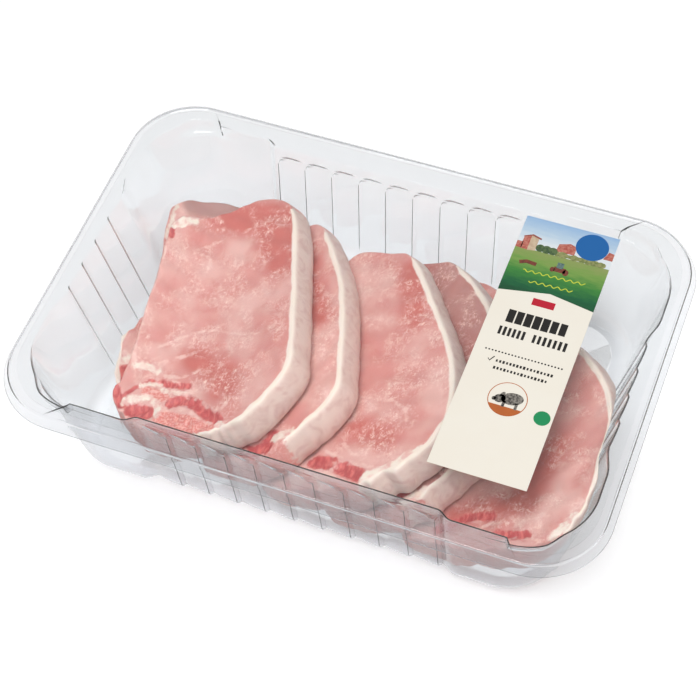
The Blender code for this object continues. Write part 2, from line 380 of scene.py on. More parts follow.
    def marked_colour(self, node: partial, read: dict, lean: bpy.types.NodeSocket) -> bpy.types.NodeSocket:
        """Lay the redder muscle, cut bone, white tissue, seams and the painted shade of hollows over the lean.

        Args:
            node: add_node bound to the tree.
            read: The chop's attributes and noises by name.
            lean: The lean's colour.

        Returns:
            The cut face's colour.
        """
        turned = node(MAPPING, {"Vector": read["grain"], "Rotation": (0.0, 0.0, math.radians(60.0)),
                                "Scale": (1.0, 0.4, 1.0)})
        bundles = node(NOISE, {"Vector": turned, "Scale": 1.0 / (1.8 * MM), "Detail": 3.0})
        mottled = [
            node(MIX, {0: node(RANGE, [noise, 0.42, end], **EASED), 6: srgb(first), 7: srgb(second)}, **RGBA)
            for noise, end, first, second in (
                (bundles, 0.66, self.muscle, self.muscle_pale),
                (read["fine"], 0.60, self.bone, self.bone_speck),
                (read["knots"], 0.70, self.fat_edge, self.pale),
            )
        ]
        broken = node(RANGE, [read["gaps"], 0.36, 0.60, 0.0, 0.62], **EASED)
        # Each region: its mark, the noise and reach of its edge, the edge's softness, its strength and colour.
        regions = (
            ("red", "edge", 1.8, 1.4, 0.90, mottled[0]),
            ("bone", "edge", 1.8, 1.4, 1.0, mottled[1]),
            ("white", "edge", 2.6, 1.6, 1.0, mottled[2]),
            ("seam", "edge", 1.3, 1.1, broken, srgb(self.fibre)),
            # Painted shade: grey in the hollow under a neighbouring chop's edge.
            ("hollow", "slow", 2.0, 5.0, 0.80, srgb(self.hollow)),
        )
        colour = lean
        for mark, wander, reach, soft, strength, over in regions:
            share = node(MATH, [self.inside(node, read, mark, wander, reach, soft), strength], operation="MULTIPLY")
            colour = node(MIX, {0: share, 6: colour, 7: over}, **RGBA)
        return colour

    def rim_colour(self, node: partial, read: dict, face: bpy.types.NodeSocket) -> bpy.types.NodeSocket:
        """Wrap the cap of fat round the chop's edge: a bright line on the face, and a side painted greyer as shade
        where it turns from the light.

        Args:
            node: add_node bound to the tree.
            read: The chop's attributes and noises by name.
            face: The cut face's colour.

        Returns:
            The whole chop's colour.
        """
        cap_mm, wander_mm = 2.6, 1.1
        wander = node(MATH, [read["slow"], 2.0 * wander_mm, -wander_mm], operation="MULTIPLY_ADD")
        width = node(MATH, [read["cap"], cap_mm, wander], operation="MULTIPLY_ADD")
        band = node(RANGE, [node(MATH, [width, read["rim"]], operation="SUBTRACT"), -0.3, 0.6], **EASED)
        ragged = node(MATH, [read["edge"], 1.2, node(MATH, [read["cap"], 0.6], operation="SUBTRACT")],
                      operation="MULTIPLY_ADD")
        fat = node(MATH, [band, node(RANGE, [ragged, 0.30, 0.60], **EASED)], operation="MULTIPLY")
        on_side = node(RANGE, [read["rim"], 0.2, -2.6], **EASED)
        # Painted shade: the side is greyer than the cut edge, mottled darker by the smear noise.
        shaded_side = node(MIX, {0: node(RANGE, [read["smear"], 0.38, 0.76], **EASED), 6: srgb(self.shaded_fat_side),
                          7: srgb(self.fat_shade)}, **RGBA)
        cap = node(MIX, {0: on_side, 6: srgb(self.fat_edge), 7: shaded_side}, **RGBA)
        bare_share = node(MATH, [on_side, 0.6], operation="MULTIPLY")
        bare = node(MIX, {0: bare_share, 6: face, 7: srgb(self.rim_meat)}, **RGBA)
        return node(MIX, {0: fat, 6: bare, 7: cap}, **RGBA)

    def build(self) -> bpy.types.Material:
        """Build the material: moist, softly glossy, with a little light passing under its surface."""
        material, node = new_material("raw_pork")
        grain = node("ShaderNodeAttribute", output="Vector", attribute_name="grain")
        read = {"grain": grain}
        for name in ("rim", "cap", "tone", *MARKS):
            read[name] = node("ShaderNodeAttribute", output="Fac", attribute_name=name)
        for name, size_mm, detail, roughness, distortion in self.noises:
            read[name] = node(NOISE, {"Vector": grain, "Scale": 1.0 / (size_mm * MM), "Detail": detail,
                                      "Roughness": roughness, "Distortion": distortion})
        colour = self.rim_colour(node, read, self.marked_colour(node, read, self.lean_colour(node, read)))
        gloss = node(RANGE, [read["slow"], 0.3, 0.7, 0.32, 0.50])
        bump = node("ShaderNodeBump", {"Strength": 0.30, "Distance": 0.08 * MM, "Height": read["fine"]})
        surface = node(PRINCIPLED, {
            "Base Color": colour, "Roughness": gloss, "IOR": 1.38, "Normal": bump,
            "Subsurface Weight": 0.12, "Subsurface Radius": (1.0, 0.35, 0.2), "Subsurface Scale": 1.6 * MM,
        }, subsurface_method="RANDOM_WALK")
        node("ShaderNodeOutputMaterial", {"Surface": surface})
        return material


@dataclass(frozen=True)
class PrintFinish:
    """Printing ink, or nothing, on coated label paper."""

    # Flat colour with a silky face, neither matt nor glossy. The paper's fibres are finer than the bump of
    # 0.4 mm, which is as coarse as it needs to be to soften the highlights.
    name: str
    ink: str
    second: str = ""
    patch_mm: float = 4.0
    roughness: float = 0.55

    def build(self) -> bpy.types.Material:
        """Build the ink, mottled towards its second colour where it has one."""
        material, node = new_material(self.name)
        place = node("ShaderNodeTexCoord", output="Object")
        mottled = node(NOISE, {"Vector": place, "Scale": 1.0 / (self.patch_mm * MM), "Detail": 3.0, "Roughness": 0.6})
        colour = node(MIX, {0: node(RANGE, [mottled, 0.35, 0.65], **EASED), 6: srgb(self.ink),
                            7: srgb(self.second or self.ink)}, **RGBA)
        fibre = node(NOISE, {"Vector": place, "Scale": 1.0 / (0.4 * MM), "Detail": 2.0})
        bump = node("ShaderNodeBump", {"Strength": 0.12, "Distance": 0.02 * MM, "Height": fibre})
        surface = node(PRINCIPLED, {"Base Color": colour, "Roughness": self.roughness, "IOR": 1.45, "Normal": bump})
        node("ShaderNodeOutputMaterial", {"Surface": surface})
        return material


@dataclass(frozen=True)
class GradientInk:
    """Printing ink that changes colour along the label."""

    # Silky like the other inks, but it fades along the label as a sky or a field does, in soft streaks.
    name: str
    start: float
    end: float
    stops: tuple

    def build(self) -> bpy.types.Material:
        """Build the ink: a colour ramp along Y, broken up by soft streaks."""
        material, node = new_material(self.name)
        place = node("ShaderNodeTexCoord", output="Object")
        along = node("ShaderNodeSeparateXYZ", [place], output="Y")
        share = node(RANGE, [along, self.start * MM, self.end * MM])
        drawn = node(MAPPING, {"Vector": place, "Rotation": (0.0, 0.0, math.radians(8.0)), "Scale": (0.25, 1.0, 1.0)})
        streaks = node(NOISE, {"Vector": drawn, "Scale": 1.0 / (1.6 * MM), "Detail": 3.0, "Roughness": 0.6})
        uneven = node(MATH, [share, 0.175], operation="SUBTRACT")
        colour = node("ShaderNodeValToRGB", [node(MATH, [streaks, 0.35, uneven], operation="MULTIPLY_ADD")])
        points = colour.node.color_ramp.elements
        while len(points) < len(self.stops):
            points.new(0.5)
        for point, (code, at) in zip(points, self.stops):
            point.position = at
            point.color = srgb(code)
        surface = node(PRINCIPLED, {"Base Color": colour, "Roughness": 0.5, "IOR": 1.45})
        node("ShaderNodeOutputMaterial", {"Surface": surface})
        return material


# ---------------------------------------------------------------- tray


class Wall(Enum):
    """Which wall of the tray a place lies on."""

    SHORT = "short"
    LONG = "long"


@dataclass
class Tray:
    """The thermoformed tray: a ribbed shell with a flange and a down-turned lip."""

    thickness: float = 0.6 * MM
    height: float = 58.0 * MM
    half_length: float = 121.0 * MM
    half_width: float = 78.0 * MM
    corner: float = 28.0 * MM
    short_slope: float = 0.235
    long_slope: float = 0.085
    corner_slope: float = 0.080
    heel: float = 6.0 * MM
    rounding: float = 0.7 * MM
    flange_half_length: float = 127.8 * MM
    flange_half_width: float = 87.8 * MM
    flange_corner: float = 28.5 * MM
    lip_flare: float = 2.2 * MM
    lip_drop: float = 5.0 * MM
    panel_inset: float = 3.0 * MM
    panel_step: dict = field(default_factory=lambda: {Wall.LONG: 1.3 * MM, Wall.SHORT: 0.85 * MM})
    panel_top: float = 52.5 * MM
    panel_arch: float = 5.0 * MM
    panels: dict = field(default_factory=lambda: {Wall.LONG: 10, Wall.SHORT: 4})
    pitch: dict = field(default_factory=lambda: {Wall.LONG: 12.8 * MM, Wall.SHORT: 13.1 * MM})
    fade: dict = field(default_factory=lambda: {Wall.LONG: 6.0 * MM, Wall.SHORT: 13.0 * MM})
    flute_run: float = 0.88
    flute_ease: float = 1.8 * MM
    arch_start: float = 0.55
    arch_run: float = 0.40
    lug_depth: float = 2.6 * MM
    lug_rise: tuple = ((51.5, 0.12), (52.1, 0.5), (52.7, 0.88), (53.4, 1.0), (54.5, 1.0), (56.5, 1.0))
    plain_top: float = 47.0 * MM
    arch_heights: tuple = (48.0, 49.0, 49.8, 50.4, 51.0)
    edge_round: float = 1.2 * MM
    smooth_angle: float = math.radians(38.0)
    corner_steps: int = 26
    panel_points: tuple = (0.0, 0.06, 0.16, 0.30, 0.45, 0.60, 0.74, 0.88, 0.94)

    def size_at(self, z: np.ndarray | float) -> tuple:
        """Return the inner wall's half length, half width and corner radius at a height."""
        drop = self.height - z
        return (self.half_length - self.short_slope * drop, self.half_width - self.long_slope * drop,
                self.corner - self.corner_slope * drop)

    def panel_field(self, along: np.ndarray | float, wall: Wall) -> np.ndarray | float:
        """Return how fully a place along a wall lies in the inset panel field, from 0 to 1."""
        return 1.0 - smooth_step((np.abs(along) - 0.5 * self.panels[wall] * self.pitch[wall]) / self.fade[wall])

    def stations(self, wall: Wall, straight: float) -> list[float]:
        """List places along a wall from one end of its straight stretch to the other."""
        start = -0.5 * self.panels[wall] * self.pitch[wall]
        ease = [start - self.fade[wall] * share for share in (1.0, 0.8, 0.6, 0.4, 0.2)]
        places = [-straight, 0.5 * (-straight + ease[0])] + ease
        for i in range(self.panels[wall]):
            places += [start + (i + share) * self.pitch[wall] for share in self.panel_points]
        places += [-start] + [-p for p in reversed(ease)] + [0.5 * (straight - ease[0]), straight]
        return places

    def relief(self, wall: Wall, along: float, z: float) -> float:
        """Return how far the wall stands in from its plain line: the panel field less its stepped flutes.

        Args:
            wall: Which wall.
            along: Place along the wall from its middle, in metres.
            z: Height in metres.

        Returns:
            The inward distance in metres.
        """
        share = float(self.panel_field(along, wall))
        inset = self.panel_inset * share
        place = along / self.pitch[wall] + 0.5 * self.panels[wall]
        if place < 0.0 or place >= self.panels[wall] - 1e-6:
            return inset
        local = place - math.floor(place)
        if local < self.flute_run:
            flute = math.sin(0.5 * math.pi * local / self.flute_run)
        else:
            flute = (1.0 - local) / (1.0 - self.flute_run)
        past_bend = max(0.0, (local - self.arch_start) / self.arch_run)
        top = self.panel_top
        if wall is Wall.LONG:
            top -= self.panel_arch * (1.0 - math.sqrt(max(0.0, 1.0 - past_bend ** 2)))
        else:
            top = self.height + self.panel_arch
        return inset - self.panel_step[wall] * flute * float(smooth_step((top - z) / self.flute_ease))

    def ring(self, size: tuple, z: float, relief: float, lug: float, grow: float = 0.0) -> list[tuple]:
        """Return one closed ring of the shell, anticlockwise from the +X wall.

        Args:
            size: Half length, half width and corner radius.
            z: The ring's height.
            relief: How much of the panel relief it has.
            lug: How much of the stacking lugs it has.
            grow: Distance to move the whole ring outwards.

        Returns:
            The ring's places.
        """
        length, width, corner = size
        corner += grow
        core_x, core_y = length + grow - corner, width + grow - corner
        places = []
        for quarter in range(4):
            wall = Wall.SHORT if quarter % 2 == 0 else Wall.LONG
            sign = 1.0 if quarter < 2 else -1.0
            for along in self.stations(wall, core_y if wall is Wall.SHORT else core_x):
                inset = relief * self.relief(wall, along, z)
                if wall is Wall.SHORT:
                    places.append((sign * (length + grow - inset), sign * along, z))
                else:
                    places.append((-sign * along, sign * (width + grow - inset), z))
            centre = (core_x if quarter in (0, 3) else -core_x, core_y if quarter in (0, 1) else -core_y)
            for step in range(1, self.corner_steps):
                share = step / self.corner_steps
                angle = math.radians(90.0 * (quarter + share))
                to_long = share if wall is Wall.SHORT else 1.0 - share
                radius = corner + self.lug_depth * lug * float(smooth_step(4.0 * to_long - 1.9))
                places.append((centre[0] + radius * math.cos(angle), centre[1] + radius * math.sin(angle), z))
        return places

    def build(self, material: bpy.types.Material) -> bpy.types.Object:
        """Build the tray piece: rings lofted from the floor to the lip, then given their wall."""
        rings = [self.ring(self.size_at(self.thickness), self.thickness, 1.0, 0.0, -self.heel - 1.0 * MM)]
        for step in range(8):
            turn = 0.5 * math.pi * step / 7
            z = self.thickness + self.heel * (1.0 - math.cos(turn))
            rings.append(self.ring(self.size_at(z), z, 1.0, 0.0, -self.heel * (1.0 - math.sin(turn))))
        low = self.thickness + self.heel
        heights = [low + (self.plain_top - low) * i / 6 for i in range(1, 7)] + [z * MM for z in self.arch_heights]
        rings += [self.ring(self.size_at(z), z, 1.0, 0.0) for z in heights]
        rings += [self.ring(self.size_at(z * MM), z * MM, 1.0, lug) for z, lug in self.lug_rise]
        for step in range(1, 5):
            turn = 0.5 * math.pi * step / 4
            z = self.height - self.rounding * (1.0 - math.sin(turn))
            rings.append(self.ring(self.size_at(z), z, 1.0, 1.0, self.rounding * (1.0 - math.cos(turn))))
        flange = (self.flange_half_length, self.flange_half_width, self.flange_corner)
        bend = self.edge_round
        rings.append(self.ring(flange, self.height, 0.0, 0.0, -bend))
        for step in range(5):
            turn = 0.5 * math.pi * step / 4
            z = self.height - bend * (1.0 - math.cos(turn))
            rings.append(self.ring(flange, z, 0.0, 0.0, bend * (math.sin(turn) - 1.0)))
        for share in (0.35, 0.7, 1.0):
            z = self.height - bend - share * (self.lip_drop - bend)
            rings.append(self.ring(flange, z, 0.0, 0.0, share * self.lip_flare))
        count = len(rings[0])
        vertices = np.array([place for ring in rings for place in ring])
        faces = ring_bands(len(rings), count) + [tuple(range(count))]
        piece = mesh_object("tray_shell", vertices, faces, [material])
        face_outwards(piece, opens_up=True)
        wall = piece.modifiers.new("wall", "SOLIDIFY")
        wall.thickness = self.thickness
        wall.offset = -1.0
        wall.use_even_offset = True
        apply_modifiers(piece)
        piece.data.shade_smooth()
        piece.data.set_sharp_from_angle(angle=self.smooth_angle)
        return piece


# ---------------------------------------------------------------- chops


# The last mark is painted shade in the hollow under a neighbouring chop's edge.
MARKS = ("red", "bone", "seam", "white", "deep", "hollow")


@dataclass(frozen=True)
class Stroke:
    """A marked region of a chop's face: a band of some half width along a line in plan, in millimetres."""

    half_width: float
    points: tuple

    def inside(self, plan: np.ndarray) -> np.ndarray:
        """Return how many millimetres each place in plan lies inside the band, negative outside."""
        best = np.full(len(plan), 1e6)
        for start, end in zip(self.points, self.points[1:]):
            a, b = np.array(start, float), np.array(end, float)
            share = np.clip(((plan - a) @ (b - a)) / ((b - a) @ (b - a)), 0.0, 1.0)
            best = np.minimum(best, np.linalg.norm(plan - a - share[:, None] * (b - a), axis=1))
        return self.half_width - best


@dataclass(frozen=True)
class ChopShape:
    """One chop: its layer in the stack, its outline in plan in millimetres, and what shows on its face.

    The outline runs clockwise from the far end of the fat side, down to the bone end, and back up.
    The marks are the bands of redder muscle, cut bone, thin seams, white fat, deeper lean, and grey painted shade in
    the hollow under a neighbouring chop's edge.
    """

    name: str
    layer: int
    outline: tuple
    fat_run: tuple = (0.0, 0.41)
    # How much painted shade darkens the chop's lean, from 0 to 1.
    tone: float = 0.0
    red: tuple = ()
    bone: tuple = ()
    seam: tuple = ()
    white: tuple = ()
    deep: tuple = ()
    # Painted shade in the hollow under a neighbouring chop's edge.
    hollow: tuple = ()

    def mark(self, kind: str, plan: np.ndarray) -> np.ndarray:
        """Return how many millimetres each place lies inside the marks of a kind, down to -9."""
        strokes = getattr(self, kind)
        if not strokes:
            return np.full(len(plan), -9.0)
        return np.maximum(-9.0, np.max([stroke.inside(plan) for stroke in strokes], axis=0))


@dataclass
class ChopStack:
    """The tilted stack of chops and how it settles into the tray."""

    tray: Tray
    tilt: float = math.radians(28.0)
    thickness: float = 16.0 * MM
    pitch: float = 16.6 * MM
    edge_x: float = -22.0 * MM
    edge_z: float = 52.0 * MM
    cup_start: float = -42.0 * MM
    cup_curve: float = 7.3
    clearance: float = 0.5 * MM
    wall_clearance: float = 1.1 * MM
    swell: float = 0.7 * MM
    swell_run: tuple = (13.5 * MM, 17.0 * MM)
    ease: dict = field(default_factory=lambda: {"floor": 3.0 * MM, "film": 1.0 * MM, "wall": 1.6 * MM})
    layer_gap: float = 50.0 * MM
    around: int = 420
    face_rings: int = 44
    back_rings: int = 14
    rim: tuple = ((1.2, 0.0), (0.55, 0.25), (0.2, 1.0), (-0.5, 2.7), (-1.3, 5.0), (-1.9, 7.5), (-2.0, 10.0),
                  (-1.4, 12.4), (-0.3, 14.4), (0.9, 15.5), (2.2, 16.0))

    def settle(self, places: np.ndarray) -> np.ndarray:
        """Settle places of the tilted stack into the tray: cup, swell, floor, film and walls."""
        x, y, z = places.T.copy()
        z += np.where(x < self.cup_start, self.cup_curve * (x - self.cup_start) ** 2, 0.0)
        z += self.swell * np.sin(x / self.swell_run[0] + 0.6) * np.sin(y / self.swell_run[1] - 0.4)
        z = soft_floor(z, self.tray.thickness + self.clearance, self.ease["floor"])
        z = soft_ceiling(z, self.tray.height - self.clearance, self.ease["film"])
        length, width, corner = self.tray.size_at(z)
        core_x, core_y = length - corner, width - corner
        near_x, near_y = np.clip(x, -core_x, core_x), np.clip(y, -core_y, core_y)
        away = np.hypot(x - near_x, y - near_y)
        beside_long = (np.abs(y) > core_y) & (np.abs(x) < core_x)
        beside_short = (np.abs(x) > core_x) & (np.abs(y) < core_y)
        inset = (beside_long * self.tray.panel_field(x, Wall.LONG)
                 + beside_short * self.tray.panel_field(y, Wall.SHORT))
        heel = self.tray.heel
        rise = np.clip(z - self.tray.thickness, 0.0, heel)
        tuck = heel - np.sqrt(np.maximum(0.0, heel ** 2 - (heel - rise) ** 2))
        reach = corner - tuck - self.tray.panel_inset * inset - self.wall_clearance
        share = np.where(away > 1e-9, soft_ceiling(away, reach, self.ease["wall"]) / np.maximum(away, 1e-9), 1.0)
        return np.stack([near_x + (x - near_x) * share, near_y + (y - near_y) * share, z], axis=1)

    def stack_places(self, plate: np.ndarray, depth: np.ndarray, layer: int) -> np.ndarray:
        """Place points of a plate in its layer of the tilted stack.

        Args:
            plate: Places on the plate, along and across, in metres.
            depth: Depth of each under the face.
            layer: The chop's layer.

        Returns:
            Places in the row frame, before settling.
        """
        sine, cosine = math.sin(self.tilt), math.cos(self.tilt)
        face_x = plate[:, 0] * cosine
        face_z = self.edge_z + (face_x - self.edge_x) * math.tan(self.tilt) - layer * self.pitch / cosine
        return np.stack([face_x + depth * sine, plate[:, 1], face_z - depth * cosine], axis=1)

    def outline(self, shape: ChopShape) -> np.ndarray:
        """Return the plate's outline: evenly spaced places on the closed curve through its points."""
        knots = np.array(shape.outline, float) * MM
        knots[:, 0] /= math.cos(self.tilt)
        fine = []
        total = len(knots)
        for i in range(total):
            p0, p1, p2, p3 = (knots[(i + j - 1) % total] for j in range(4))
            for t in np.arange(0.0, 1.0, 0.02):
                fine.append(0.5 * (2 * p1 + (p2 - p0) * t + (2 * p0 - 5 * p1 + 4 * p2 - p3) * t * t
                                   + (3 * p1 - p0 - 3 * p2 + p3) * t ** 3))
        fine = np.array(fine + [fine[0]])
        run = np.concatenate([[0.0], np.cumsum(np.linalg.norm(np.diff(fine, axis=0), axis=1))])
        marks = np.linspace(0.0, run[-1], self.around, endpoint=False)
        return np.stack([np.interp(marks, run, fine[:, k]) for k in (0, 1)], axis=1)

    @staticmethod
    def inward(outline: np.ndarray) -> np.ndarray:
        """Return the inward direction at each place of a clockwise outline."""
        run = np.roll(outline, -1, axis=0) - np.roll(outline, 1, axis=0)
        inward = np.stack([run[:, 1], -run[:, 0]], axis=1)
        return inward / np.linalg.norm(inward, axis=1, keepdims=True)

    def cap_share(self, shape: ChopShape) -> np.ndarray:
        """Return how much of a fat cap each place of the outline has, from 0 to 1."""
        share = np.arange(self.around) / self.around
        start, end = shape.fat_run
        middle, half = 0.5 * (start + end), 0.5 * (end - start)
        away = np.abs((share - middle + 0.5) % 1.0 - 0.5)
        return smooth_step((half - away) / 0.045 + 0.5)

    def ragged(self, outline: np.ndarray, seed: int) -> np.ndarray:
        """Return how far the sawn bone end is cut in at each place of the outline, in millimetres."""
        share = np.arange(self.around) / self.around
        bone_end = smooth_step((share - 0.33) / 0.05) * smooth_step((0.66 - share) / 0.05)
        coarse, fine = waves(outline, 13.0 * MM, seed + 80), waves(outline, 5.0 * MM, seed + 90)
        return bone_end * (0.9 + 0.8 * coarse + 0.35 * fine)

    def build(self, shape: ChopShape, material: bpy.types.Material, seed: int) -> bpy.types.Object:
        """Build one chop.

        Args:
            shape: The chop.
            material: Its material.
            seed: Seed of its small unevenness.

        Returns:
            The chop's piece, with the attributes its material reads.
        """
        outline = self.outline(shape)
        inward = self.inward(outline)
        middle = outline.mean(axis=0)
        cap = self.cap_share(shape)
        first_inset = self.rim[0][0] * MM
        ragged = self.ragged(outline, seed)
        rows = []
        for share in (np.arange(self.face_rings) + 1) / (self.face_rings + 1):
            eased = share ** 0.85
            rows.append((middle + (outline + inward * (first_inset + ragged[:, None] * MM) - middle) * eased, 0.0))
        for inset, depth in self.rim:
            side = min(1.0, depth / 3.0) * min(1.0, (16.0 - depth) / 2.0)
            wrinkle = 0.22 * side * waves(np.hstack([outline, np.full((self.around, 1), depth * 0.4 * MM)]),
                                          9.0 * MM, seed)
            rows.append((outline + inward * ((inset + wrinkle + ragged)[:, None] * MM), depth * MM))
        for share in reversed((np.arange(self.back_rings) + 1) / (self.back_rings + 1)):
            rows.append((middle + (outline + inward * 2.2 * MM - middle) * share, self.thickness))
        plate = np.concatenate([row for row, _ in rows] + [middle[None], middle[None]])
        depth = np.concatenate([np.full(self.around, d) for _, d in rows] + [[0.0, self.thickness]])
        plan = plate / MM * np.array([math.cos(self.tilt), 1.0])
        relief = 0.28 * MM * (waves(plate, 11.0 * MM, seed + 40) - 1.0)
        on_face = depth < 0.3 * MM
        rough = np.clip(np.maximum(shape.mark("bone", plan), shape.mark("red", plan)) / 2.0, 0.0, 1.0)
        relief += rough * 0.40 * MM * waves(plate, 5.0 * MM, seed + 60)
        relief -= 0.9 * MM * np.clip(shape.mark("red", plan) / 2.0, 0.0, 1.0)
        depth_now = depth - np.where(on_face, relief, 0.0)
        vertices = self.settle(self.stack_places(plate, depth_now, shape.layer))
        count = self.around
        faces = ring_bands(len(rows), count)
        last = (len(rows) - 1) * count
        hub, back_hub = last + count, last + count + 1
        faces += [((i + 1) % count, i, hub) for i in range(count)]
        faces += [(last + i, last + (i + 1) % count, back_hub) for i in range(count)]
        piece = mesh_object(shape.name + "_meat", vertices, faces, [material])
        face_outwards(piece)
        piece.data.shade_smooth()
        self.mark(piece, shape, outline, cap, plate, depth, plan)
        return piece

    def mark(self, piece: bpy.types.Object, shape: ChopShape, outline: np.ndarray, cap: np.ndarray,
             plate: np.ndarray, depth: np.ndarray, plan: np.ndarray) -> None:
        """Store the attributes that the pork material reads.

        Args:
            piece: The chop's piece.
            shape: The chop.
            outline: The plate's outline.
            cap: Fat share round the outline.
            plate: Plate place of each vertex.
            depth: Depth of each vertex under the face.
            plan: Plan place of each vertex in millimetres.
        """
        nearest = np.empty(len(plate), int)
        distance = np.empty(len(plate))
        for start in range(0, len(plate), 4000):
            block = plate[start:start + 4000]
            gaps = np.linalg.norm(block[:, None, :] - outline[None, :, :], axis=2)
            nearest[start:start + 4000] = gaps.argmin(axis=1)
            distance[start:start + 4000] = gaps.min(axis=1)
        on_side = depth > 0.2 * MM
        rim = np.where(on_side, -depth / MM, distance / MM)
        grain = np.column_stack([plate, depth + shape.layer * self.layer_gap])
        values = {kind: shape.mark(kind, plan) for kind in MARKS}
        # The chop's share of painted shade is stored with the marks.
        values |= {"rim": rim, "cap": cap[nearest], "tone": np.full(len(plan), shape.tone)}
        for name, data in values.items():
            attribute = piece.data.attributes.new(name, "FLOAT", "POINT")
            attribute.data.foreach_set("value", data.astype(np.float32))
        attribute = piece.data.attributes.new("grain", "FLOAT_VECTOR", "POINT")
        attribute.data.foreach_set("vector", grain.astype(np.float32).ravel())


